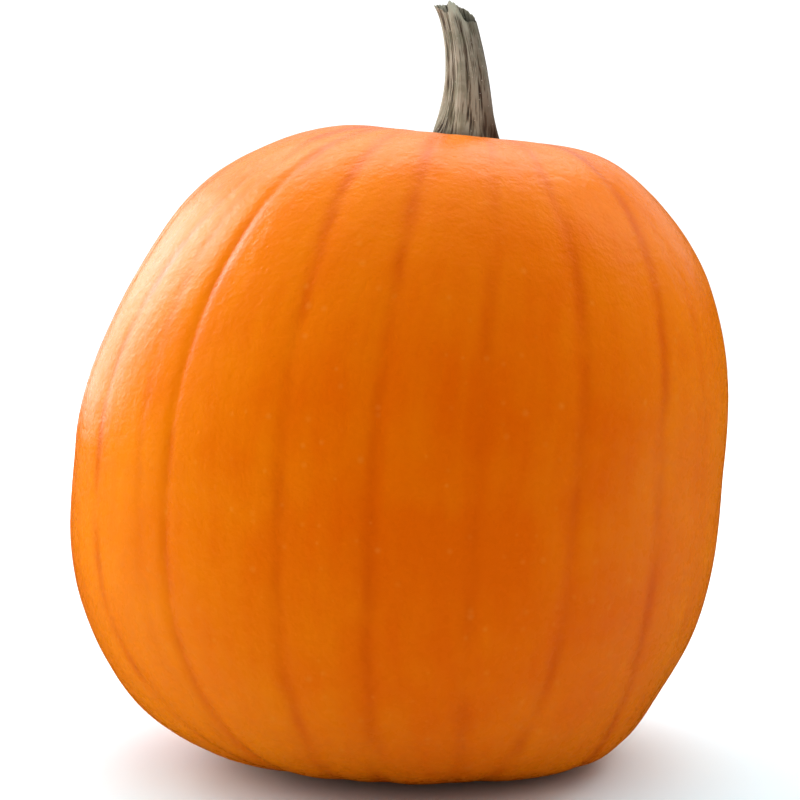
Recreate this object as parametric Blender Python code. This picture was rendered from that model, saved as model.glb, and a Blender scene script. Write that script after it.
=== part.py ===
"""A whole ripe pumpkin, as picked: a lopsided ribbed fruit and its dry, ridged stem.

The fruit stands on a small flat spot and leans a little back and to the right. The stem stands 0.3 mm clear
in a shallow hollow at the top. Metres and degrees, +Z up, front towards -Y, +X to the right. The origin is
under the middle of the fruit, on the surface that it stands on.
"""

from collections import namedtuple

import bmesh
import bpy
import numpy as np
from mathutils import Matrix, Vector

# The fruit's meridian. A squareness of 2 is a ball, and more gives a flatter side and a squarer shoulder.
EQUATOR_RADIUS = 0.1439
TOP_RISE = 0.1517
BASE_DROP = 0.1405
TOP_SQUARENESS = 2.58
BASE_SQUARENESS = 3.33
STEM_HOLLOW_DEPTH = 0.0077
STEM_HOLLOW_RADIUS = 0.0432
BLOSSOM_HOLLOW_DEPTH = 0.0045
BLOSSOM_HOLLOW_RADIUS = 0.0170
FOOT_DEPTH = 0.0015

# How far each end of the fruit sits off its middle, and its axis's lean at the base and at the top
TOP_SHIFT = Vector((0.0172, 0.0087))
BASE_SHIFT = Vector((0.0146, 0.0007))
BASE_LEAN_RIGHT, TOP_LEAN_RIGHT = 0.8, 5.6
TOP_LEAN_BACK = 6.4

# Swellings and flat places: their height, their degrees down from the stem, and their side of the fruit
Swelling = namedtuple("Swelling", "height polar azimuth")
SWELLINGS = (
    Swelling(0.0062, 87.5, 180),
    Swelling(-0.0117, 68.5, 180),
    Swelling(0.0056, 150.0, 180),
    Swelling(0.0097, 90.0, 0),
    Swelling(-0.0067, 120.0, 0),
    Swelling(0.0020, 166.0, 0),
)
SWELLING_SPREAD = 28.0

# Grooves between the ribs. Each has its azimuth at the equator, its slant and bow over the whole height, and
# the depths of its wide hollow and of the narrow crease along its bottom. -90 is the front.
Groove = namedtuple("Groove", "azimuth slant bow hollow crease")
FRONT_GROOVES = (
    Groove(-153.3, -6.9, 20.7, 0.0011, 0.0007),
    Groove(-138.5, -8.0, 5.5, 0.0008, 0.0004),
    Groove(-131.8, -4.1, 0.8, 0.0016, 0.0018),
    Groove(-108.7, -2.2, -5.2, 0.0012, 0.0006),
    Groove(-93.0, 0.4, -5.8, 0.0011, 0.0005),
    Groove(-76.2, 0.5, -3.5, 0.0009, 0.0004),
    Groove(-57.9, 3.2, -11.2, 0.0012, 0.0006),
    Groove(-39.3, -0.5, 1.0, 0.0012, 0.0006),
    Groove(-24.5, -6.0, -5.0, 0.0012, 0.0006),
)
BACK_GROOVE_COUNT = 12
BACK_GROOVE_SWAY = 2.2
BACK_HOLLOW, BACK_CREASE = 0.0014, 0.0006
HOLLOW_HALF_WIDTH, CREASE_HALF_WIDTH = 5.0, 1.3
SHOULDER_POLAR, SHOULDER_SPREAD, SHOULDER_DEEPENING = 35.0, 20.0, 0.6

# The seat that the stem stands on, and the stem, which curves to the left as it rises
SEAT_RADIUS = 0.0175
SEAT_OFFSET = 0.0025
SKIN_START_RADIUS = 0.0245
STEM_GAP = 0.0003
STEM_HEIGHT = 0.0585
STEM_TIP_RADIUS, STEM_FLARE, STEM_FLARE_HEIGHT = 0.0069, 0.0075, 0.026
STEM_SWAY, STEM_CURVE = 0.062, 3.6
STEM_RIDGES, STEM_RIDGE_DEPTH, STEM_RIDGE_TURN = 5, 0.10, -112.0
CUT_SLOPE = 0.0018
CUT_HOLLOW = 0.0035
CUT_RIM = 0.72
SPLINTER_HEIGHT, SPLINTER_AZIMUTH, SPLINTER_SPREAD = 0.0042, -105.0, 18.0

# Mesh fineness
COLUMNS_PER_RIB = 6
FRUIT_ROWS = 30
STEM_COLUMNS = 30
STEM_ROWS = 9

RIND_COLOUR = (0.85, 0.17, 0.004, 1.0)
STEM_COLOUR = (0.22, 0.17, 0.11, 1.0)


def clear_scene():
    for existing in list(bpy.data.objects):
        bpy.data.objects.remove(existing)


def make_material(name, colour, roughness):
    material = bpy.data.materials.new(name)
    material.use_nodes = True
    shader = material.node_tree.nodes["Principled BSDF"]
    shader.inputs["Base Color"].default_value = colour
    shader.inputs["Roughness"].default_value = roughness
    return material


def all_grooves():
    """The front grooves and, round the back, evenly spaced ones that sway a little, in order of azimuth."""
    start = FRONT_GROOVES[-1].azimuth
    gap = (FRONT_GROOVES[0].azimuth + 360 - start) / (BACK_GROOVE_COUNT + 1)
    back = []
    for number in range(1, BACK_GROOVE_COUNT + 1):
        sway = np.sin(2.4 * number)
        back.append(Groove(start + number * gap + BACK_GROOVE_SWAY * sway, sway, -2 * sway,
                           BACK_HOLLOW * (1 + 0.3 * sway), BACK_CREASE * (1 - 0.3 * sway)))
    return FRONT_GROOVES + tuple(back)


def groove_azimuth(groove, polar):
    """Azimuth of a groove's line that many degrees down from the stem."""
    rise = np.cos(np.radians(polar))
    return groove.azimuth + groove.slant * rise + groove.bow * rise ** 2


def ease(share):
    """0 below 0, 1 above 1, and an even curve between them."""
    share = np.clip(share, 0, 1)
    return share * share * (3 - 2 * share)


def groove_depth(azimuth, polar, grooves):
    """How deep the skin is sunk there. Grooves are deepest on the shoulder and run out at both ends."""
    depth = 0.0
    for groove in grooves:
        away = (azimuth - groove_azimuth(groove, polar) + 180) % 360 - 180
        depth += groove.hollow * np.exp(-(away / HOLLOW_HALF_WIDTH) ** 2)
        depth += groove.crease * np.exp(-(away / CREASE_HALF_WIDTH) ** 2)
    shoulder = np.exp(-((polar - SHOULDER_POLAR) / SHOULDER_SPREAD) ** 2)
    ends = ease((polar - 3) / 14) * ease((178 - polar) / 22)
    return depth * ends * (1 + SHOULDER_DEEPENING * shoulder)


def swelling_height(azimuth, polar):
    height = 0.0
    for swelling in SWELLINGS:
        facing = (1 + np.cos(np.radians(azimuth - swelling.azimuth))) / 2
        near = np.exp(-((polar - swelling.polar) / SWELLING_SPREAD) ** 2)
        height += swelling.height * near * facing ** 2 * np.sin(np.radians(polar))
    return height


def meridian(polar):
    """Distance from the axis, and height over the equator, of the plain fruit before it is made lopsided."""
    across, along = np.sin(np.radians(polar)), np.cos(np.radians(polar))
    above = along > 0
    squareness = TOP_SQUARENESS if above else BASE_SQUARENESS
    radius = EQUATOR_RADIUS * abs(across) ** (2 / squareness)
    rise = abs(along) ** (2 / squareness)
    if above:
        return radius, TOP_RISE * rise - STEM_HOLLOW_DEPTH * np.exp(-(radius / STEM_HOLLOW_RADIUS) ** 2)
    return radius, BLOSSOM_HOLLOW_DEPTH * np.exp(-(radius / BLOSSOM_HOLLOW_RADIUS) ** 2) - BASE_DROP * rise


def lean(polar):
    """The turn of the fruit's bent axis, that many degrees down from the stem."""
    share = (1 + np.cos(np.radians(polar))) / 2
    right = np.radians(BASE_LEAN_RIGHT + (TOP_LEAN_RIGHT - BASE_LEAN_RIGHT) * share)
    back = np.radians(TOP_LEAN_BACK * share)
    return Matrix.Rotation(-back, 3, "X") @ Matrix.Rotation(right, 3, "Y")


def skin(azimuth, polar, grooves):
    """A point of the fruit's skin, from its azimuth and its degrees down from the stem."""
    radius, height = meridian(polar)
    raised = swelling_height(azimuth, polar) - groove_depth(azimuth, polar, grooves)
    size = 1 + raised / EQUATOR_RADIUS
    shift = (TOP_SHIFT if polar < 90 else BASE_SHIFT) * abs(np.cos(np.radians(polar))) ** 1.5
    around = Vector((np.cos(np.radians(azimuth)), np.sin(np.radians(azimuth)))) * radius * size + shift
    return lean(polar) @ Vector((around.x, around.y, height * size))


def seat_frame(grooves):
    """The middle of the stem's seat, with the seat's own upward direction as +Z."""
    turn = lean(0)
    middle = skin(0, 0, grooves) + turn @ Vector((SEAT_OFFSET, 0, 0))
    return Matrix.Translation(middle) @ turn.to_4x4()


def row_polars():
    """The polar angle of each row of points, an even way apart along the skin."""
    fine = np.linspace(0, 180, 1801)
    profile = np.array([meridian(polar) for polar in fine])
    first = np.argmax(profile[:, 0] > SKIN_START_RADIUS)
    steps = np.linalg.norm(np.diff(profile[first:], axis=0), axis=1)
    walked = np.concatenate(([0.0], np.cumsum(steps)))
    return np.interp(np.linspace(0, walked[-1], FRUIT_ROWS - 1), walked, fine[first:])


def make_fruit():
    """A UV sphere whose columns are bent to follow the grooves, with a flat seat on top and a flat foot."""
    grooves = all_grooves()
    columns = COLUMNS_PER_RIB * len(grooves)
    polars = row_polars()
    seat = seat_frame(grooves)
    next_groove = grooves[1:] + (grooves[0]._replace(azimuth=grooves[0].azimuth + 360),)
    bm = bmesh.new()
    bmesh.ops.create_uvsphere(bm, u_segments=columns, v_segments=FRUIT_ROWS, radius=1)
    for vertex in bm.verts:
        down = round(vertex.co.angle(Vector((0, 0, 1))) / np.pi * FRUIT_ROWS)
        column = round(np.arctan2(vertex.co.y, vertex.co.x) / (2 * np.pi) * columns) % columns
        rib, part = divmod(column, COLUMNS_PER_RIB)
        polar = polars[max(down - 2, 0)]
        sides = [groove_azimuth(groove, polar) for groove in (grooves[rib], next_groove[rib])]
        azimuth = sides[0] + (sides[1] - sides[0]) * part / COLUMNS_PER_RIB
        if down == 0:
            vertex.co = seat.translation
        elif down == 1:
            angle = np.radians(azimuth)
            vertex.co = seat @ Vector((SEAT_RADIUS * np.cos(angle), SEAT_RADIUS * np.sin(angle), 0))
        else:
            vertex.co = skin(azimuth, polar if down < FRUIT_ROWS else 180, grooves)
    foot = min(vertex.co.z for vertex in bm.verts) + FOOT_DEPTH
    for vertex in bm.verts:
        vertex.co.z = max(vertex.co.z, foot)
    low = Vector([min(vertex.co[i] for vertex in bm.verts) for i in range(3)])
    high = Vector([max(vertex.co[i] for vertex in bm.verts) for i in range(3)])
    down_to_origin = Vector((-(low.x + high.x) / 2, -(low.y + high.y) / 2, -foot))
    bmesh.ops.translate(bm, verts=bm.verts, vec=down_to_origin)
    return finish("fruit", bm, RIND_COLOUR, 0.42), Matrix.Translation(down_to_origin) @ seat


def stem_radius(height, angle):
    """The stem's half width at a height over its foot: flared at the foot and ridged all round."""
    plain = STEM_TIP_RADIUS + STEM_FLARE * np.exp(-height / STEM_FLARE_HEIGHT)
    turned = angle - np.radians(STEM_RIDGE_TURN)
    ridges = np.cos(STEM_RIDGES * turned) + 0.4 * np.cos(2 * STEM_RIDGES * turned)
    return plain * (1 + STEM_RIDGE_DEPTH * ridges * (1 - 0.5 * height / STEM_HEIGHT))


def stem_end(angle, share):
    """Height of the torn end, which slopes down to the right, with one splinter on its rim and a hollow middle."""
    away = (np.degrees(angle) - SPLINTER_AZIMUTH + 180) % 360 - 180
    splinter = SPLINTER_HEIGHT * np.exp(-(away / SPLINTER_SPREAD) ** 2) * (share == 1)
    hollow = CUT_HOLLOW * ease((1 - share) / (1 - CUT_RIM))
    return STEM_HEIGHT - CUT_SLOPE * np.cos(angle) * share + splinter - hollow


def stem_point(rise, angle, share):
    """A point of the stem, by its share of the height, its angle, and its share of the way out to the bark."""
    height = stem_end(angle, share) * rise
    middle = STEM_SWAY * height - STEM_CURVE * height ** 2
    out = stem_radius(height, angle) * share
    return Vector((middle + out * np.cos(angle), out * np.sin(angle), STEM_GAP + height))


def make_stem(seat):
    """A profile of the foot, side and torn end, spun round a full turn and then bent and ridged."""
    side = [(1, row / STEM_ROWS) for row in range(STEM_ROWS + 1)]
    profile = [(0, 0), *side, (CUT_RIM, 1), (0, 1)]
    bm = bmesh.new()
    verts = [bm.verts.new((out, 0, rise)) for out, rise in profile]
    edges = [bm.edges.new(pair) for pair in zip(verts, verts[1:])]
    bmesh.ops.spin(bm, geom=verts + edges, axis=(0, 0, 1), cent=(0, 0, 0), angle=2 * np.pi,
                   steps=STEM_COLUMNS, use_merge=True)
    bmesh.ops.remove_doubles(bm, verts=bm.verts, dist=1e-5)
    for vertex in bm.verts:
        angle = np.arctan2(vertex.co.y, vertex.co.x)
        share = round(vertex.co.xy.length, 4)
        vertex.co = stem_point(vertex.co.z, angle, share)
    stem = finish("stem", bm, STEM_COLOUR, 0.85)
    stem.matrix_world = seat
    return stem


def finish(name, bm, colour, roughness):
    bmesh.ops.recalc_face_normals(bm, faces=bm.faces)
    mesh = bpy.data.meshes.new(name)
    bm.to_mesh(mesh)
    bm.free()
    mesh.shade_smooth()
    mesh.materials.append(make_material(name, colour, roughness))
    made = bpy.data.objects.new(name, mesh)
    bpy.context.scene.collection.objects.link(made)
    return made


clear_scene()
fruit, seat = make_fruit()
stem = make_stem(seat)
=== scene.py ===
# %% [markdown]
# # A ripe orange pumpkin
# A pumpkin is one swollen fruit. Its rind is drawn in along a score of grooves that run from the stem to the
# blossom scar, and the ribs swell between them. On top stands the dry, corky stalk that it hung from.
# This lesson makes the fruit's fine skin and the stalk's fibres over a plain model of known size, gives each
# its finish, and sets up a white studio with a camera that looks at the fruit as its photograph does.

# %% Tools
import math

import bmesh
import bpy
import numpy as np
from mathutils import Matrix, Vector, noise


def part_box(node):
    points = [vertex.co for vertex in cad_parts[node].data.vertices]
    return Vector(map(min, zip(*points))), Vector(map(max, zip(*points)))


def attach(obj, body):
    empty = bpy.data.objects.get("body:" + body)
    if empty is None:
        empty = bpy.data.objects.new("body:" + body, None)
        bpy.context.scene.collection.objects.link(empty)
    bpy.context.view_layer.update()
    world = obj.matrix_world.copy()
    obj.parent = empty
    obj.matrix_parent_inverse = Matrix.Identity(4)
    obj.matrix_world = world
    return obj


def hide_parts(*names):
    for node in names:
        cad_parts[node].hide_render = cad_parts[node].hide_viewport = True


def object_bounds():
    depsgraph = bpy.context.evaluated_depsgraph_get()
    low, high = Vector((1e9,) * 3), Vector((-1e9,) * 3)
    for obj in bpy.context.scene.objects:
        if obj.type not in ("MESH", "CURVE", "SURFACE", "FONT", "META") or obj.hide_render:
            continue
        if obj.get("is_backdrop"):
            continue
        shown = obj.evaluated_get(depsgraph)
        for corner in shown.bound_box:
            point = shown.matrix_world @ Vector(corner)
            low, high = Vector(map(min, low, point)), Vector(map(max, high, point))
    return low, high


print("Blender", bpy.app.version_string)

# %% [markdown]
# The plain model comes first, because it fixes every size. It has two solids, the fruit and the stem, and
# the fine pieces made below stand in their places. Its box is kept, to compare with the finished one.

# %% The plain model
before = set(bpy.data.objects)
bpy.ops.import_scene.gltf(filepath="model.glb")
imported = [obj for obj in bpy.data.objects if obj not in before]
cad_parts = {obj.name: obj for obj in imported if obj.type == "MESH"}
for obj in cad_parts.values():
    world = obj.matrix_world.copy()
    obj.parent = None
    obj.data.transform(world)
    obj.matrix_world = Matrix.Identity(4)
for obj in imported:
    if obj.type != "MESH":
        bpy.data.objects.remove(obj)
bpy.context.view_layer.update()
fruit_low, fruit_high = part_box("fruit")

# %% [markdown]
# Colours are easiest to pick as sRGB hex values, but light adds up in linear values. One function
# turns the first into the second.

# %% Colours
def linear(hex_colour):
    """Linear red, green, blue and alpha from an sRGB hex value such as 'ED7308'."""
    parts = [int(hex_colour[i:i + 2], 16) / 255 for i in (0, 2, 4)]
    return tuple(c / 12.92 if c <= 0.04045 else ((c + 0.055) / 1.055) ** 2.4 for c in parts) + (1.0,)


print("ripe rind in linear values:", [round(c, 3) for c in linear("ED7308")])

# %% [markdown]
# A material is a small graph of nodes. One function adds a node, sets its properties, and fills its sockets
# from plain values or from other nodes' outputs, so that a graph reads from top to bottom like a recipe.

# %% A node at a time
def add(tree, kind, sockets=None, **settings):
    """Adds one node. settings are its properties. sockets maps an input's name or number to what feeds it."""
    made = tree.nodes.new(kind)
    for name, value in settings.items():
        setattr(made, name, value)
    for name, value in (sockets or {}).items():
        if isinstance(value, bpy.types.NodeSocket):
            tree.links.new(value, made.inputs[name])
        else:
            made.inputs[name].default_value = value
    return made


def new_material(name, **shader_values):
    """A material with one Principled shader, and that shader's plain values."""
    material = bpy.data.materials.new(name)
    material.use_nodes = True
    shader = material.node_tree.nodes["Principled BSDF"]
    for socket, value in shader_values.items():
        shader.inputs[socket.replace("_", " ")].default_value = value
    return material, material.node_tree, shader


MM = 0.001


def per_metre(size_mm):
    """The texture scale that draws one feature every size_mm."""
    return 1 / (size_mm * MM)


print("a pattern with a feature every 2 mm has scale", per_metre(2))

# %% [markdown]
# ## The fruit
# Nobody could guess a pumpkin's form as a ball. Seen from the side it is a squared ball with a flat base,
# its two ends sit off to the right, and its axis is bent: upright at the base, leaning right and back at the
# top. The left shoulder is flattened. These are the same sizes that the plain model was made from.

# %% The fruit's sizes
EQUATOR_RADIUS = 0.1439
TOP_RISE, BASE_DROP = 0.1517, 0.1405
TOP_SQUARENESS, BASE_SQUARENESS = 2.58, 3.33
STEM_HOLLOW_DEPTH, STEM_HOLLOW_RADIUS = 0.0077, 0.0432
BLOSSOM_HOLLOW_DEPTH, BLOSSOM_HOLLOW_RADIUS = 0.0045, 0.0170
FOOT_DEPTH = 0.0015
TOP_SHIFT = (0.0172, 0.0087)
BASE_SHIFT = (0.0146, 0.0007)
BASE_LEAN_RIGHT, TOP_LEAN_RIGHT, TOP_LEAN_BACK = 0.8, 5.6, 6.4

# Each swelling or flat place: its height, its degrees down from the stem, and its side (180 is left)
SWELLINGS = (
    (0.0062, 87.5, 180), (-0.0117, 68.5, 180), (0.0056, 150.0, 180),
    (0.0097, 90.0, 0), (-0.0067, 120.0, 0), (0.0020, 166.0, 0),
)
SWELLING_SPREAD = 28.0
# Each smaller lump or dip: its height, its azimuth, its degrees down from the stem, and how far it spreads
LUMPS = (
    (0.0018, -160, 18, 11), (0.0012, -179, 50, 14), (-0.0009, -179, 80, 10), (0.0010, -175, 95, 12),
    (0.0010, -162, 134, 12), (0.0019, -15, 22, 14), (0.0016, -4, 62, 16), (0.0010, -10, 88, 14),
    (0.0011, -13, 110, 10), (-0.0009, -14, 130, 10), (0.0022, -35, 151, 12), (-0.0012, -80, 157, 14),
)

# %% [markdown]
# The grooves are what the eye knows a pumpkin by. Each one has a wide, shallow hollow and a narrow crease
# along its bottom, and none runs quite straight: it slants and bows. On this fruit they are shallow, soft
# bands. Only the third one, left of the front, is a crease, where one rib has grown a little over the next.
# Bump in the material could draw them, but they have to turn the highlight and reach the outline, so they
# are in the mesh. The back can't be seen in the photograph, so its grooves follow a rule like the front's.

# %% The grooves
# Azimuth at the equator, slant, bow, depths of the hollow and the crease, and the crease's width to the left
# and to the right, in degrees. -90 is the front.
FRONT_GROOVES = (
    (-153.3, -6.9, 20.7, 0.0003, 0.0003, 1.8, 1.6),
    (-138.5, -8.0, 5.5, 0.0001, 0.0002, 1.6, 1.6),
    (-131.4, -3.7, 4.8, 0.0003, 0.0008, 1.4, 1.0),
    (-108.7, -2.2, -5.2, 0.0004, 0.0003, 1.8, 1.6),
    (-93.0, 0.4, -5.8, 0.0004, 0.0003, 1.6, 1.6),
    (-76.2, 0.5, -3.5, 0.0002, 0.0002, 1.6, 1.6),
    (-57.9, 3.2, -11.2, 0.0004, 0.0003, 1.6, 1.8),
    (-39.3, -0.5, 1.0, 0.0004, 0.0003, 1.6, 1.8),
    (-24.5, -6.0, -5.0, 0.0002, 0.0001, 1.6, 1.6),
)
BACK_GROOVE_COUNT, BACK_GROOVE_SWAY = 12, 2.2
BACK_HOLLOW, BACK_CREASE = 0.0007, 0.0006
HOLLOW_HALF_WIDTH, BACK_CREASE_WIDTH, TINT_WIDTH = 5.0, 1.5, 1.4
# A crease of this depth, or a deeper one, has the full redder colour
FULL_TINT_CREASE = 0.0003
# The grooves are shallower near the stem, and fade out at both ends: where each change starts, and its length
SHALLOWEST, DEEPENING, STEM_FADE, SCAR_FADE = 0.35, (12, 45), (3, 14), (178, 22)

first, last = FRONT_GROOVES[0][0] + 360, FRONT_GROOVES[-1][0]
gap = (first - last) / (BACK_GROOVE_COUNT + 1)
grooves = list(FRONT_GROOVES)
for number in range(1, BACK_GROOVE_COUNT + 1):
    sway = math.sin(2.4 * number)
    middle = last + number * gap + BACK_GROOVE_SWAY * sway
    hollow, crease = BACK_HOLLOW * (1 + 0.3 * sway), BACK_CREASE * (1 - 0.3 * sway)
    grooves.append((middle, sway, -2 * sway, hollow, crease, BACK_CREASE_WIDTH, BACK_CREASE_WIDTH))
print("grooves all round:", len(grooves), "and between the back ones, degrees:", round(gap, 1))

# %% How deep the skin is drawn in
def ease(share):
    """0 below 0, 1 above 1, and an even curve between them."""
    share = np.clip(share, 0, 1)
    return share * share * (3 - 2 * share)


def groove_azimuth(groove, polar):
    """Where the groove runs, at those degrees down from the stem."""
    middle, slant, bow = groove[:3]
    rise = np.cos(np.radians(polar))
    return middle + slant * rise + bow * rise ** 2


def groove_relief(azimuth, polar):
    """The skin's depth there, and how near it is to a groove's line, from 0 to 1."""
    depth, near = 0, 0
    narrowing = np.maximum(np.sin(np.radians(polar)), 0.3)
    for groove in grooves:
        hollow, crease, left_width, right_width = groove[3:]
        away = (azimuth - groove_azimuth(groove, polar) + 180) % 360 - 180
        crease_width = np.where(away < 0, left_width, right_width)
        depth = depth + hollow * np.exp(-(away / HOLLOW_HALF_WIDTH) ** 2)
        depth = depth + crease * np.exp(-(away * narrowing / crease_width) ** 2)
        near = near + np.exp(-(away * narrowing / TINT_WIDTH) ** 2) * min(1, crease / FULL_TINT_CREASE)
    fading_up = SHALLOWEST + (1 - SHALLOWEST) * ease((polar - DEEPENING[0]) / DEEPENING[1])
    ends = ease((polar - STEM_FADE[0]) / STEM_FADE[1]) * ease((SCAR_FADE[0] - polar) / SCAR_FADE[1])
    return depth * ends * fading_up, near


print("the crease left of the front, mm deep:", round(1000 * float(groove_relief(-131.4, 90.0)[0]), 1))


# %% A point of the skin
def meridian(polar):
    """Distance from the axis, and height over the equator, before the fruit is made lopsided."""
    across, along = np.sin(np.radians(polar)), np.cos(np.radians(polar))
    squareness = np.where(along > 0, TOP_SQUARENESS, BASE_SQUARENESS)
    radius = EQUATOR_RADIUS * np.abs(across) ** (2 / squareness)
    rise = np.abs(along) ** (2 / squareness)
    top = TOP_RISE * rise - STEM_HOLLOW_DEPTH * np.exp(-(radius / STEM_HOLLOW_RADIUS) ** 2)
    base = BLOSSOM_HOLLOW_DEPTH * np.exp(-(radius / BLOSSOM_HOLLOW_RADIUS) ** 2) - BASE_DROP * rise
    return radius, np.where(along > 0, top, base)


def direction(azimuth, polar):
    """The way from the heart of a ball to that place on it."""
    turn, drop = np.radians(azimuth), np.radians(polar)
    return np.stack([np.sin(drop) * np.cos(turn), np.sin(drop) * np.sin(turn), np.cos(drop)], axis=-1)


def nearness(azimuth, polar, middle_azimuth, middle_polar, spread):
    """1 at that place on the skin, and falling away evenly all round it."""
    facing = direction(azimuth, polar) @ direction(middle_azimuth, middle_polar)
    away = np.degrees(np.arccos(np.clip(facing, -1, 1)))
    return np.exp(-(away / spread) ** 2)


def skin(azimuth, polar, extra_height=0):
    """Points of the skin, from their azimuths and their degrees down from the stem."""
    radius, height = meridian(polar)
    turn = np.radians(azimuth)
    across, along = np.sin(np.radians(polar)), np.cos(np.radians(polar))
    raised = extra_height - groove_relief(azimuth, polar)[0]
    for amount, level, side in SWELLINGS:
        facing = (1 + np.cos(np.radians(azimuth - side))) / 2
        near = np.exp(-((polar - level) / SWELLING_SPREAD) ** 2)
        raised = raised + amount * near * facing ** 2 * across
    for amount, *place_and_spread in LUMPS:
        raised = raised + amount * nearness(azimuth, polar, *place_and_spread)
    size = 1 + raised / EQUATOR_RADIUS
    reach = np.abs(along) ** 1.5
    x = radius * size * np.cos(turn) + np.where(along > 0, TOP_SHIFT[0], BASE_SHIFT[0]) * reach
    y = radius * size * np.sin(turn) + np.where(along > 0, TOP_SHIFT[1], BASE_SHIFT[1]) * reach
    z = height * size
    share = (1 + along) / 2
    right = np.radians(BASE_LEAN_RIGHT + (TOP_LEAN_RIGHT - BASE_LEAN_RIGHT) * share)
    back = np.radians(TOP_LEAN_BACK * share)
    x, z = x * np.cos(right) + z * np.sin(right), z * np.cos(right) - x * np.sin(right)
    y, z = y * np.cos(back) + z * np.sin(back), z * np.cos(back) - y * np.sin(back)
    return np.stack([x, y, z], axis=-1)


print("top of the fruit over its middle, mm:", round(1000 * float(skin(-90.0, 20.0)[2])))

# %% [markdown]
# ### The mesh
# A rind is one sheet with columns that run from pole to pole, which is how a pumpkin's ribs run. A subdivided
# cube would spread its faces more evenly, but no row of its edges would follow a groove. A UV sphere has the
# right columns, and is slow to make this fine, so a flat grid is wrapped round and its edges are merged.
# Each column is then bent to follow the grooves beside it, closest together at the creases.

# %% Rows and columns
COLUMNS_PER_RIB, FRUIT_ROWS = 20, 200
columns = COLUMNS_PER_RIB * len(grooves)
fine = np.linspace(0, 180, 3601)
profile = np.stack(meridian(fine), axis=-1)
walked = np.concatenate(([0], np.cumsum(np.linalg.norm(np.diff(profile, axis=0), axis=1))))
row_polars = np.interp(np.linspace(0, walked[-1], FRUIT_ROWS + 1), walked, fine)
print(columns, "columns,", FRUIT_ROWS, "rows, and from pole to pole, mm:", round(1000 * walked[-1]))


# %% A grid wrapped into a ball
def place_vertices(bm, points):
    for vertex, point in zip(bm.verts, points):
        vertex.co = point


def places_in(bm):
    return np.array([vertex.co for vertex in bm.verts])


fruit_bm = bmesh.new()
bmesh.ops.create_grid(fruit_bm, x_segments=columns, y_segments=FRUIT_ROWS, size=1)
flat = places_in(fruit_bm)
place_vertices(fruit_bm, direction(180 * flat[:, 0], 90 * (1 - flat[:, 1])))
bmesh.ops.remove_doubles(fruit_bm, verts=fruit_bm.verts, dist=1e-5)
print("vertices:", len(fruit_bm.verts))

# %% Its columns bent along the grooves
# Two grooves meet near the stem. The columns stay this many degrees apart there, so that no face folds over.
LEAST_RIB = 4.0
ball = places_in(fruit_bm)
row = np.rint(np.arccos(np.clip(ball[:, 2], -1, 1)) / np.pi * FRUIT_ROWS).astype(int)
column = np.rint(np.arctan2(ball[:, 1], ball[:, 0]) / (2 * np.pi) * columns).astype(int) % columns
polar = row_polars[row]
rib, part = np.divmod(column, COLUMNS_PER_RIB)
part = part / COLUMNS_PER_RIB
part = part - 0.5 * np.sin(2 * np.pi * part) / (2 * np.pi)
lines = np.stack([groove_azimuth(groove, polar) for groove in grooves])
for number in range(1, len(grooves)):
    lines[number] = np.maximum(lines[number], lines[number - 1] + LEAST_RIB)
lines = np.concatenate([lines, lines[:1] + 360])
everyone = np.arange(len(polar))
azimuth = lines[rib, everyone] * (1 - part) + lines[rib + 1, everyone] * part
ribs = np.diff(lines, axis=0)
print("ribs, degrees: from", round(float(ribs.min()), 1), "to", round(float(ribs.max()), 1))

# %% [markdown]
# A real rind is never smooth between its grooves. Growth leaves it slightly wavy, with hollows a few
# centimetres wide and half a millimetre deep, which are what make a highlight on it waver. They are added
# as noise that is read on the plain fruit, so that it has no seam.

# %% Waves in the skin
# Each size of wave: its height, its width in millimetres, its seed, and how it is drawn out upwards
WAVES = ((0.00055, 55, 3.7, 1.0), (0.00030, 22, 8.1, 0.4), (0.00010, 8, 5.3, 0.4))
CALM_END = (4, 10)


def noise_at(points, size_mm, seed):
    """Smooth noise from -1 to 1 at each point, with lumps of that size."""
    scale = per_metre(size_mm)
    offset = Vector((seed, 2 * seed, 3 * seed))
    return np.array([noise.noise(Vector(point) * scale + offset) for point in points])


plain = skin(azimuth, polar)
waves = 0
for wave_height, wave_width, seed, drawn_out in WAVES:
    waves = waves + wave_height * noise_at(plain * (1, 1, drawn_out), wave_width, seed)
waves = waves * ease((polar - CALM_END[0]) / CALM_END[1])
skin_points = skin(azimuth, polar, waves)
print("waves, mm: up", round(1000 * waves.max(), 2), "down", round(1000 * waves.min(), 2))

# %% Standing it in the plain model's place
foot = skin_points[:, 2].min() + FOOT_DEPTH
skin_points[:, 2] = np.maximum(skin_points[:, 2], foot)
low, high = skin_points.min(axis=0), skin_points.max(axis=0)
heart = Vector(((fruit_low.x + fruit_high.x - low[0] - high[0]) / 2,
                (fruit_low.y + fruit_high.y - low[1] - high[1]) / 2, -foot))
skin_points = skin_points + np.array(heart)
room_across = (fruit_high.x - fruit_low.x) / (high[0] - low[0])
room_deep = (fruit_high.y - fruit_low.y) / (high[1] - low[1])
room = min(room_across, room_deep)
skin_points = skin_points * min(1, room)
print("size against the plain model's:", round(1 / room, 4))

# %% The finished fruit mesh
def make_piece(name, bm, node):
    """An object from the bmesh, riding on the model's one body in place of one of its solids."""
    mesh = bpy.data.meshes.new(name)
    bm.to_mesh(mesh)
    bm.free()
    mesh.shade_smooth()
    piece = bpy.data.objects.new(name, mesh)
    bpy.context.scene.collection.objects.link(piece)
    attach(piece, "root")
    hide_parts(node)
    return piece


place_vertices(fruit_bm, skin_points)
bmesh.ops.recalc_face_normals(fruit_bm, faces=fruit_bm.faces)
fruit = make_piece("fruit_skin", fruit_bm, "fruit")
print("fruit faces:", len(fruit.data.polygons))
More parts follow.
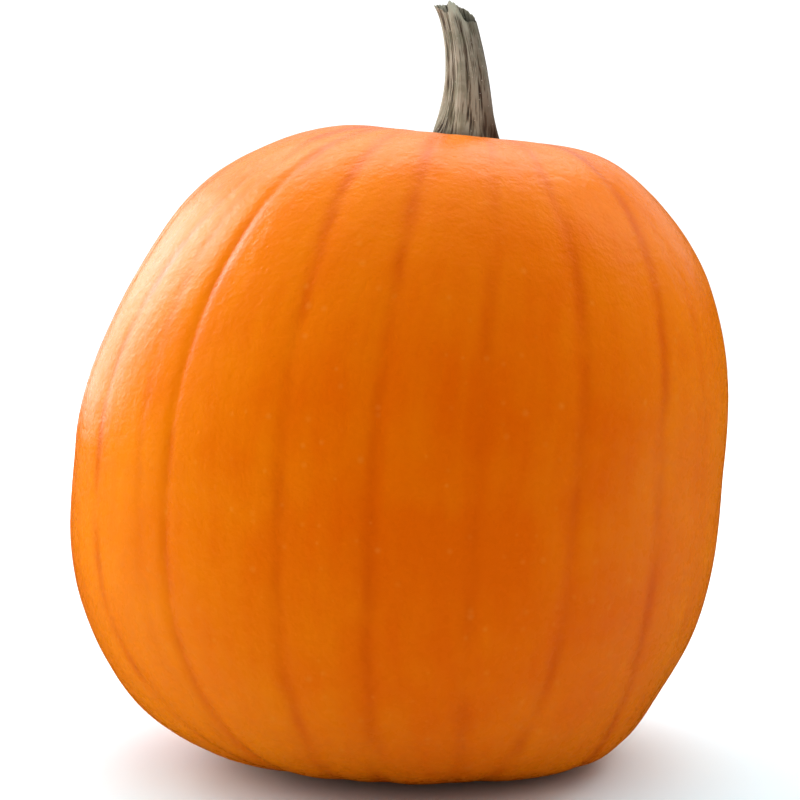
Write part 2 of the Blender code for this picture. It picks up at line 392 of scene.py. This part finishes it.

# %% [markdown]
# ### What the finish needs to know
# Colour on this rind is redder and darker in the grooves, streaked along the ribs, greenish round the stem,
# and a deeper orange in a few broad patches that ripened first. The broad patch at the front is painted
# shade:
# the front is the side in shade, so it is drawn a deeper, redder orange. So values are kept at each vertex
# for the material to read: how near it is to a groove, its degrees down from the stem, how deep its orange
# is, and a place on the unrolled skin whose streaks run along the ribs.

# %% Values kept on the skin
# Each broad patch of deeper orange: its azimuth, its degrees down from the stem, and how far it spreads.
# The first, at the front, is painted shade, and the others ripened first.
RIPE_AND_SHADED_PATCHES = ((-76, 98, 52), (40, 105, 35), (105, 80, 40), (165, 120, 30))


def keep_values(piece, name, values, kind="FLOAT"):
    attribute = piece.data.attributes.new(name, kind, "POINT")
    field = "vector" if kind == "FLOAT_VECTOR" else "value"
    attribute.data.foreach_set(field, np.asarray(values, np.float32).ravel())


near_groove = np.clip(groove_relief(azimuth, polar)[1], 0, 1)
down_the_skin = np.interp(polar, fine, walked)
turn = np.radians(azimuth)
ripeness_and_front_shade = np.zeros(len(polar))
for place_and_spread in RIPE_AND_SHADED_PATCHES:
    ripeness_and_front_shade = np.maximum(ripeness_and_front_shade, nearness(azimuth, polar, *place_and_spread))
unrolled = np.stack([EQUATOR_RADIUS * np.cos(turn), EQUATOR_RADIUS * np.sin(turn), down_the_skin], axis=-1)
keep_values(fruit, "near_groove", near_groove)
keep_values(fruit, "polar", polar)
keep_values(fruit, "ripeness_and_front_shade", ripeness_and_front_shade)
keep_values(fruit, "unrolled", unrolled, "FLOAT_VECTOR")
print("share of the skin near a groove:", round(float((near_groove > 0.5).mean()), 2))

# %% [markdown]
# ### Waxed rind
# A ripe rind is a tough skin coated in its own wax. It is deeply saturated, so nearly all the blue and most
# of the green is absorbed, and over that lies a soft sheen, because the wax is smooth but the skin under it
# is finely pitted. Skin and plant wax both have an index of refraction of about 1.45. A picture of a rind
# would repeat one fruit's marks all round, so the colour is built from noise, laid out along the ribs.

# %% Waxed rind, its colour
rind, tree, shader = new_material("waxed_rind", Roughness=0.28, IOR=1.45, Specular_IOR_Level=0.26)
shader.inputs["Specular Tint"].default_value = linear("FF9A3C")
coordinates = add(tree, "ShaderNodeTexCoord").outputs["Object"]
on_ribs = add(tree, "ShaderNodeAttribute", attribute_name="unrolled").outputs["Vector"]
groove_value = add(tree, "ShaderNodeAttribute", attribute_name="near_groove").outputs["Fac"]
polar_value = add(tree, "ShaderNodeAttribute", attribute_name="polar").outputs["Fac"]

cloud = add(tree, "ShaderNodeTexNoise", {"Vector": coordinates, "Scale": per_metre(38), "Detail": 3.0})
along_ribs = add(tree, "ShaderNodeMapping", {"Vector": on_ribs, "Scale": (1, 1, 0.16)})
streak = add(tree, "ShaderNodeTexNoise",
             {"Vector": along_ribs.outputs[0], "Scale": per_metre(7), "Detail": 4.0})
# This value holds painted shade at the front: the shaded front is drawn a deeper, redder orange.
ripeness_and_shade_value = add(tree, "ShaderNodeAttribute", attribute_name="ripeness_and_front_shade").outputs["Fac"]
ripe = add(tree, "ShaderNodeMath", {0: cloud.outputs[0], 1: 0.8, 2: ripeness_and_shade_value}, operation="MULTIPLY_ADD")
ripe = add(tree, "ShaderNodeMath", {0: streak.outputs[0], 1: 0.4, 2: ripe.outputs[0]},
           operation="MULTIPLY_ADD")
ripe = add(tree, "ShaderNodeMapRange", {0: ripe.outputs[0], 1: 0.60, 2: 1.60})
ripeness_and_shade_colour = add(tree, "ShaderNodeMix", {0: ripe.outputs[0], 6: linear("F28004"), 7: linear("E45C00")},
               data_type="RGBA")
print("the rind has clouds of 38 mm, and streaks of 7 mm that are", round(1 / 0.16, 1), "times as long")

# %% Waxed rind, its grooves, speckles and ends
blotch_place = add(tree, "ShaderNodeMapping", {"Vector": on_ribs, "Scale": (1, 1, 0.5)})
blotch = add(tree, "ShaderNodeTexNoise",
             {"Vector": blotch_place.outputs[0], "Scale": per_metre(16), "Detail": 2.0})
blotch = add(tree, "ShaderNodeMapRange", {0: blotch.outputs[0], 1: 0.35, 2: 0.65, 3: 0.08, 4: 0.50})
tint = add(tree, "ShaderNodeMath", {0: groove_value, 1: blotch.outputs[0]}, operation="MULTIPLY")
dots = add(tree, "ShaderNodeTexVoronoi", {"Vector": coordinates, "Scale": per_metre(7.5)})
dot_choice = add(tree, "ShaderNodeSeparateColor", {0: dots.outputs["Color"]})
dot_size = add(tree, "ShaderNodeMath", {0: dot_choice.outputs[0], 1: 0.30}, operation="MULTIPLY")
dot = add(tree, "ShaderNodeMapRange", {0: dots.outputs["Distance"], 1: dot_size.outputs[0], 2: 0.0, 4: 0.13})
near_stem = add(tree, "ShaderNodeMapRange", {0: polar_value, 1: 12.0, 2: 3.0, 4: 0.8})
near_scar = add(tree, "ShaderNodeMapRange", {0: polar_value, 1: 178.2, 2: 179.2, 4: 0.9})
colour = ripeness_and_shade_colour.outputs[2]
# Redder grooves, pale dots, a greenish ring round the stem, and the corky blossom scar
for amount, hex_colour in ((tint, "C84200"), (dot, "FFB04A"), (near_stem, "9A7A2C"), (near_scar, "8C6B42")):
    mixed = add(tree, "ShaderNodeMix", {0: amount.outputs[0], 6: colour, 7: linear(hex_colour)},
                data_type="RGBA")
    colour = mixed.outputs[2]
tree.links.new(colour, shader.inputs["Base Color"])
print("nodes that give the rind its colour:", len(tree.nodes))

# %% Waxed rind, its pits
# Pores about 1 mm apart are drawn 2 mm apart, so that they still show from this far.
pores = add(tree, "ShaderNodeTexNoise", {"Vector": coordinates, "Scale": per_metre(2.0), "Detail": 2.0})
peel = add(tree, "ShaderNodeTexNoise", {"Vector": coordinates, "Scale": per_metre(6), "Detail": 3.0})
relief = add(tree, "ShaderNodeMath", {0: peel.outputs[0], 1: 2.0, 2: pores.outputs[0]},
             operation="MULTIPLY_ADD")
pitted = add(tree, "ShaderNodeBump", {"Height": relief.outputs[0], "Distance": 0.24 * MM, "Strength": 0.9})
tree.links.new(pitted.outputs[0], shader.inputs["Normal"])
wax = add(tree, "ShaderNodeMapRange", {0: peel.outputs[0], 1: 0.3, 2: 0.7, 3: 0.24, 4: 0.32})
tree.links.new(wax.outputs[0], shader.inputs["Roughness"])
fruit.data.materials.append(rind)
print("nodes in the rind:", len(tree.nodes))

# %% [markdown]
# ## The stem
# The stalk of a pumpkin is five ridges grown together. Dried, it is a bundle of grey-brown fibres with dark
# furrows, flared at its foot where it grew out of the rind, and torn at its tip where it left the vine. It
# is made as a profile spun round a full turn, since a spin gives both the side and the torn end as one skin.
# Each point is then moved to its place on the bent, ridged stalk.

# %% The stem's sizes
STEM_HEIGHT = 0.0568
STEM_TIP_RADIUS, STEM_FLARE, STEM_FLARE_HEIGHT = 0.0069, 0.0085, 0.026
STEM_SWAY, STEM_CURVE = 0.050, 3.8
STEM_RIDGES, STEM_RIDGE_DEPTH, STEM_RIDGE_TURN, FOOT_TWIST = 5, 0.10, -112.0, 26.0
CUT_SLOPE, CUT_LOWEST_SIDE, CUT_HOLLOW, CUT_RIM = 0.0036, -45.0, 0.0060, 0.76
SPLINTER_AZIMUTH = -101.0
# What stands up from the rim: its height, its azimuth, and how far it spreads. The splinter is the first.
RIM_CRESTS = ((0.0066, SPLINTER_AZIMUTH, 19.0), (0.0023, 75.0, 45.0))
# The share of the height over which the foot's ridges turn and flatten
FOOT_SHARE = 0.12
SEAT_OFFSET, FOOT_DEPTH_IN_RIND = 0.0033, 0.0012
STEM_COLUMNS, STEM_ROWS = 260, 120

# %% Where it stands
turn_back = Matrix.Rotation(math.radians(-TOP_LEAN_BACK), 3, "X")
seat_turn = turn_back @ Matrix.Rotation(math.radians(TOP_LEAN_RIGHT), 3, "Y")
seat_middle = Vector(skin(0.0, 0.0)) + seat_turn @ Vector((SEAT_OFFSET, 0, 0)) + heart
seat = Matrix.Translation(seat_middle) @ seat_turn.to_4x4()
print("stem's foot, mm:", [round(1000 * side) for side in seat_middle])


# %% A point of the stem
def degrees_from(angle, side):
    return (np.degrees(angle) - side + 180) % 360 - 180


def stem_ridges(angle, rise):
    """From about -1 in a furrow to 1.5 on a ridge. Near the foot the ridges turn to one side."""
    turned = angle - math.radians(STEM_RIDGE_TURN + FOOT_TWIST * math.exp(-rise / FOOT_SHARE))
    return math.cos(STEM_RIDGES * turned) + 0.5 * math.cos(2 * STEM_RIDGES * turned)


def stem_fibres(angle, height):
    """Fine fibres that run up the stem, from about -1 to 1."""
    around = Vector((math.cos(angle), math.sin(angle), 0)) * 4.5
    coarse = noise.noise(around + Vector((0, 0, height * 30)))
    thin = noise.noise(around * 2.6 + Vector((7, 3, height * 55)))
    finest = noise.noise(around * 6 + Vector((2, 9, height * 60)))
    return 0.55 * coarse + 0.45 * thin + 0.35 * finest


def stem_end(angle, share):
    """Height of the torn end: it slopes down to the right, its rim is ragged and its middle is hollow."""
    around = Vector((math.cos(angle), math.sin(angle), share))
    ragged = 0.0007 * noise.noise(around * 5) + 0.0006 * noise.noise(around * 13)
    slope = CUT_SLOPE * math.cos(angle - math.radians(CUT_LOWEST_SIDE)) * share
    crests = 0
    for tall, side, spread in RIM_CRESTS:
        crests += tall * math.exp(-(degrees_from(angle, side) / spread) ** 4)
    hollow = CUT_HOLLOW * ease((1 - share) / (1 - CUT_RIM))
    return STEM_HEIGHT - slope + crests * ease((share - 0.86) / 0.1) - hollow + ragged


def stem_point(rise, angle, share):
    """A point of the stem, by its share of the height, its angle, and its share of the way to the bark."""
    height = stem_end(angle, share) * rise
    plain = STEM_TIP_RADIUS + STEM_FLARE * math.exp(-height / STEM_FLARE_HEIGHT)
    ridge_share = (1 - 0.5 * height / STEM_HEIGHT) * (1 - 0.5 * math.exp(-rise / FOOT_SHARE))
    ridged = plain * (1 + STEM_RIDGE_DEPTH * stem_ridges(angle, rise) * ridge_share)
    fibrous = ridged + 0.00045 * stem_fibres(angle, height)
    curl = 0.0016 * math.exp(-(1 - rise) * 14) * max(0, -math.cos(angle)) ** 3
    out = (fibrous + curl) * share
    middle = STEM_SWAY * height - STEM_CURVE * height ** 2
    sunk = height - FOOT_DEPTH_IN_RIND * (1 - rise)
    return seat @ Vector((middle + out * math.cos(angle), out * math.sin(angle), sunk))


print("stem's tip, mm:", [round(1000 * side) for side in stem_point(1, 0.0, 0)])

# %% Spinning and bending the stem
side = [(1, number / STEM_ROWS) for number in range(STEM_ROWS + 1)]
end = [(share, 1) for share in (0.96, 0.91, 0.84, 0.76, 0.66, 0.54, 0.40, 0.26, 0.13, 0)]
stem_bm = bmesh.new()
corners = [stem_bm.verts.new((out, 0, rise)) for out, rise in [(0, 0), *side, *end]]
spine = [stem_bm.edges.new(pair) for pair in zip(corners, corners[1:])]
bmesh.ops.spin(stem_bm, geom=corners + spine, axis=(0, 0, 1), cent=(0, 0, 0), angle=2 * math.pi,
               steps=STEM_COLUMNS, use_merge=True)
bmesh.ops.remove_doubles(stem_bm, verts=stem_bm.verts, dist=1e-5)
unbent = []
for vertex in stem_bm.verts:
    unbent.append((vertex.co.z, math.atan2(vertex.co.y, vertex.co.x), min(1, vertex.co.xy.length)))
place_vertices(stem_bm, [stem_point(*spot) for spot in unbent])
bmesh.ops.recalc_face_normals(stem_bm, faces=stem_bm.faces)
stem = make_piece("stem_bark", stem_bm, "stem")
print("stem faces:", len(stem.data.polygons))

# %% Values kept on the stem
# Painted shade: the right flank, which is in shade, is drawn dark brown, more so low down. The foot is drawn
# dark brown all round.
SHADED_FLANK_AZIMUTH, SHADED_FLANK_SPREAD, DARK_FOOT_SHARE = -10.0, 55, 0.14
rise, angle, share = np.array(unbent).T
ridge = np.array([stem_ridges(*spot) for spot in zip(angle, rise)])
around = np.stack([np.cos(angle), np.sin(angle), rise * 0.35], axis=-1)
splinter_side = np.exp(-(degrees_from(angle, SPLINTER_AZIMUTH) / 22) ** 2)
shaded_flank = np.exp(-(degrees_from(angle, SHADED_FLANK_AZIMUTH) / SHADED_FLANK_SPREAD) ** 4)
keep_values(stem, "ridge", (ridge + 1) / 2.5)
keep_values(stem, "fibre_place", around * 0.010, "FLOAT_VECTOR")
keep_values(stem, "torn", ease((0.97 - share) / 0.15) * (rise > 0.5))
keep_values(stem, "splinter", splinter_side * ease((rise - 0.88) / 0.06))
shaded_flank = shaded_flank * (0.55 + 0.45 * ease((0.5 - rise) / 0.5))
keep_values(stem, "shade_and_dark_foot", np.maximum(shaded_flank, ease((DARK_FOOT_SHARE - rise) / DARK_FOOT_SHARE)))
print("ridges all round:", STEM_RIDGES)

# %% [markdown]
# ### Dry stalk
# A dead stalk is weathered plant fibre, much like old straw. It is matt, its crests are bleached grey-beige,
# its furrows hold brown, and here and there it is still green. The furrows are also drawn darker, which is
# painted shade. The flank on the right is in shade, and is painted dark brown as painted shade, and the foot
# is drawn dark brown all round. Hair curves could be its fibres, but they lie flat in the bark, so noise that
# is stretched along the stalk draws them: bundles, and threads within them.

# %% Dry stalk, its fibres
stalk, tree, shader = new_material("dry_stalk_fibre", Roughness=0.85, IOR=1.45)
fibre_place = add(tree, "ShaderNodeAttribute", attribute_name="fibre_place").outputs["Vector"]
ridge_value = add(tree, "ShaderNodeAttribute", attribute_name="ridge").outputs["Fac"]
bundle = add(tree, "ShaderNodeTexNoise", {"Vector": fibre_place, "Scale": per_metre(1.8), "Detail": 3.0})
thread = add(tree, "ShaderNodeTexNoise", {"Vector": fibre_place, "Scale": per_metre(0.6), "Detail": 4.0})
light = -0.42
# The ridge value draws the crests lighter and the furrows darker: partly their bleached and brown colour,
# partly painted shade in the furrows.
for pattern, weight in ((bundle.outputs[0], 0.9), (thread.outputs[0], 1.7), (ridge_value, 0.25)):
    summed = add(tree, "ShaderNodeMath", {0: pattern, 1: weight, 2: light}, operation="MULTIPLY_ADD")
    light = summed.outputs[0]
bands = add(tree, "ShaderNodeValToRGB", {0: light})
bands.color_ramp.elements[0].position = 0.62
bands.color_ramp.elements[0].color = linear("32291F")
bands.color_ramp.elements[-1].position = 1.0
bands.color_ramp.elements[-1].color = linear("ACA896")
for place, hex_colour in ((0.74, "554B3F"), (0.88, "7F7764")):
    bands.color_ramp.elements.new(place).color = linear(hex_colour)
fibre_bump = add(tree, "ShaderNodeBump", {"Height": thread.outputs[0], "Distance": 0.6 * MM, "Strength": 1.0})
tree.links.new(fibre_bump.outputs[0], shader.inputs["Normal"])
print("bands of colour in the fibres:", len(bands.color_ramp.elements))

# %% Dry stalk, its stains and painted shade
coordinates = add(tree, "ShaderNodeTexCoord").outputs["Object"]
patch = add(tree, "ShaderNodeTexNoise", {"Vector": coordinates, "Scale": per_metre(7), "Detail": 3.0})
specks = add(tree, "ShaderNodeTexVoronoi", {"Vector": coordinates, "Scale": per_metre(2.4)})
green = add(tree, "ShaderNodeMapRange", {0: patch.outputs[0], 1: 0.50, 2: 0.66, 4: 0.45}).outputs[0]
speck = add(tree, "ShaderNodeMapRange", {0: specks.outputs["Distance"], 1: 0.14, 2: 0.06, 4: 0.7}).outputs[0]
# Painted shade on the right flank, and a darker foot
shade_and_dark_foot = add(tree, "ShaderNodeAttribute", attribute_name="shade_and_dark_foot").outputs["Fac"]
shade_and_dark_foot = add(tree, "ShaderNodeMath", {0: shade_and_dark_foot, 1: 0.9}, operation="MULTIPLY", use_clamp=True).outputs[0]
splinter_value = add(tree, "ShaderNodeAttribute", attribute_name="splinter").outputs["Fac"]
torn_value = add(tree, "ShaderNodeAttribute", attribute_name="torn").outputs["Fac"]
colour = bands.outputs[0]
for amount, hex_colour in ((green, "6F755C"), (shade_and_dark_foot, "3E2A20"), (speck, "D0CEC2"), (splinter_value, "C8CBB6"),
                           (torn_value, "34332C")):
    mixed = add(tree, "ShaderNodeMix", {0: amount, 6: colour, 7: linear(hex_colour)}, data_type="RGBA")
    colour = mixed.outputs[2]
tree.links.new(colour, shader.inputs["Base Color"])
stem.data.materials.append(stalk)
print("nodes in the stalk:", len(tree.nodes))

# %% [markdown]
# ## The studio
# The photograph was taken on a white sweep, in broad and soft light, most of it from behind and from the
# left. The rind's rim is pale at the left and along the top, and deep orange at the right and at the bottom,
# so not everything white around it is mirrored in its wax. A photographer gets this with polarising sheets,
# which let a lamp light a thing without a sheen. So two lamps, the floor and the sweep aren't mirrored here.

# %% Floor
# Matt white paper, a little blue, which evens out the warm light that the fruit throws on it
FLOOR_RADIUS = 1.2
floor_bm = bmesh.new()
bmesh.ops.create_circle(floor_bm, cap_ends=True, radius=FLOOR_RADIUS, segments=96)
floor_mesh = bpy.data.meshes.new("floor")
floor_bm.to_mesh(floor_mesh)
floor_bm.free()
floor = bpy.data.objects.new("floor", floor_mesh)
bpy.context.scene.collection.objects.link(floor)
floor.visible_glossy = False
floor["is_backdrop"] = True
paper, tree, shader = new_material("white_paper", Roughness=0.9)
shader.inputs["Base Color"].default_value = linear("E3F8FF")
floor.data.materials.append(paper)
print("floor, m across:", 2 * FLOOR_RADIUS)

# %% White all round
# How bright the sweep is all round, at the back, and overhead
EVEN_GLOW, BACKDROP_GLOW, CEILING_GLOW = 0.42, 0.8, 1.0
world = bpy.data.worlds.new("studio")
bpy.context.scene.world = world
world.use_nodes = True
tree = world.node_tree
looking = add(tree, "ShaderNodeTexCoord").outputs["Generated"]
towards = add(tree, "ShaderNodeSeparateXYZ", {0: looking})
forward = add(tree, "ShaderNodeMath", {0: towards.outputs["Y"], 1: 0.0}, operation="MAXIMUM")
backdrop = add(tree, "ShaderNodeMath", {0: forward.outputs[0], 1: 4.0}, operation="POWER")
upward = add(tree, "ShaderNodeMath", {0: towards.outputs["Z"], 1: 0.0}, operation="MAXIMUM")
ceiling = add(tree, "ShaderNodeMath", {0: upward.outputs[0], 1: 2.5}, operation="POWER")
glow = EVEN_GLOW
for part_of_sweep, strength in ((backdrop, BACKDROP_GLOW), (ceiling, CEILING_GLOW)):
    summed = add(tree, "ShaderNodeMath", {0: part_of_sweep.outputs[0], 1: strength, 2: glow},
                 operation="MULTIPLY_ADD")
    glow = summed.outputs[0]
tree.nodes["Background"].inputs["Color"].default_value = linear("FFFFFF")
tree.links.new(glow, tree.nodes["Background"].inputs["Strength"])
world.cycles_visibility.glossy = False
print("nodes in the sweep:", len(tree.nodes))

# %% Lamps
LIT_PLACE = Vector((0, 0, 0.15))


def soft_box(name, place, width, height, power, mirrored=True):
    """A rectangular lamp that faces the fruit. mirrored says whether the wax shows it."""
    lamp = bpy.data.lights.new(name, "AREA")
    lamp.shape, lamp.size, lamp.size_y, lamp.energy = "RECTANGLE", width, height, power
    box = bpy.data.objects.new(name, lamp)
    box.location = place
    box.rotation_euler = (LIT_PLACE - Vector(place)).to_track_quat("-Z", "Y").to_euler()
    box.visible_glossy = mirrored
    bpy.context.scene.collection.objects.link(box)


soft_box("rear_box", (0.0, 1.1, 1.3), 1.4, 0.8, 7.9)
soft_box("low_rear_box", (0.1, 1.3, 0.62), 2.4, 0.45, 2.3)
soft_box("overhead_box", (-0.1, 0.35, 1.7), 1.6, 1.3, 3.5)
soft_box("high_rear_left_box", (-0.8, 1.0, 1.1), 0.9, 0.8, 1.9)
soft_box("low_rear_left_box", (-0.95, 1.25, 0.40), 0.7, 0.7, 3.6)
soft_box("small_rear_left_box", (-1.0, 1.05, 0.78), 0.5, 0.5, 2.2)
soft_box("tall_left_box", (-1.25, 0.75, 0.75), 0.7, 1.1, 5.0)
soft_box("small_left_box", (-1.0, 0.7, 1.05), 0.5, 0.5, 2.0)
soft_box("small_right_box", (1.15, 0.7, 1.2), 0.7, 0.7, 1.2)
soft_box("left_box", (-1.6, 0.0, 0.7), 1.0, 1.0, 10.9, mirrored=False)
soft_box("right_box", (1.1, 0.6, 1.2), 0.8, 0.8, 7.8, mirrored=False)
bpy.context.scene.view_settings.view_transform = "Standard"
print("lamps:", len(bpy.data.lights))

# %% [markdown]
# ## The camera
# The photograph looks as if it was taken with a long lens, about 1.4 m away and 10 degrees above the floor.
# A photograph doesn't hold these, so they were judged by how little of the top and of the shadow shows. The
# aim is a little above the fruit's middle, because the stem takes up the top of the picture.

# %% Camera
PICTURE, SENSOR = 800, 36
FOCAL_PIXELS, HEART_X, HEART_Y = 3163, 390.6, 451.65
ELEVATION, DISTANCE = math.radians(10), 1.44
back = Vector((0, -math.cos(ELEVATION), math.sin(ELEVATION)))
up = Vector((0, math.sin(ELEVATION), math.cos(ELEVATION)))
metre_per_pixel = DISTANCE / FOCAL_PIXELS
aim = heart + metre_per_pixel * (Vector((1, 0, 0)) * (PICTURE / 2 - HEART_X) + up * (HEART_Y - PICTURE / 2))
lens = bpy.data.cameras.new("camera")
lens.sensor_width, lens.lens = SENSOR, FOCAL_PIXELS / PICTURE * SENSOR
camera = bpy.data.objects.new("camera", lens)
camera.location = heart + back * DISTANCE
camera.rotation_euler = (aim - camera.location).to_track_quat("-Z", "Y").to_euler()
bpy.context.scene.collection.objects.link(camera)
bpy.context.scene.camera = camera
print("lens, mm:", round(lens.lens, 1), "camera at, m:", [round(side, 2) for side in camera.location])

# %% The size of what is shown, and the end
low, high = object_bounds()
print("shown:", [round(1000 * side, 1) for side in high - low])
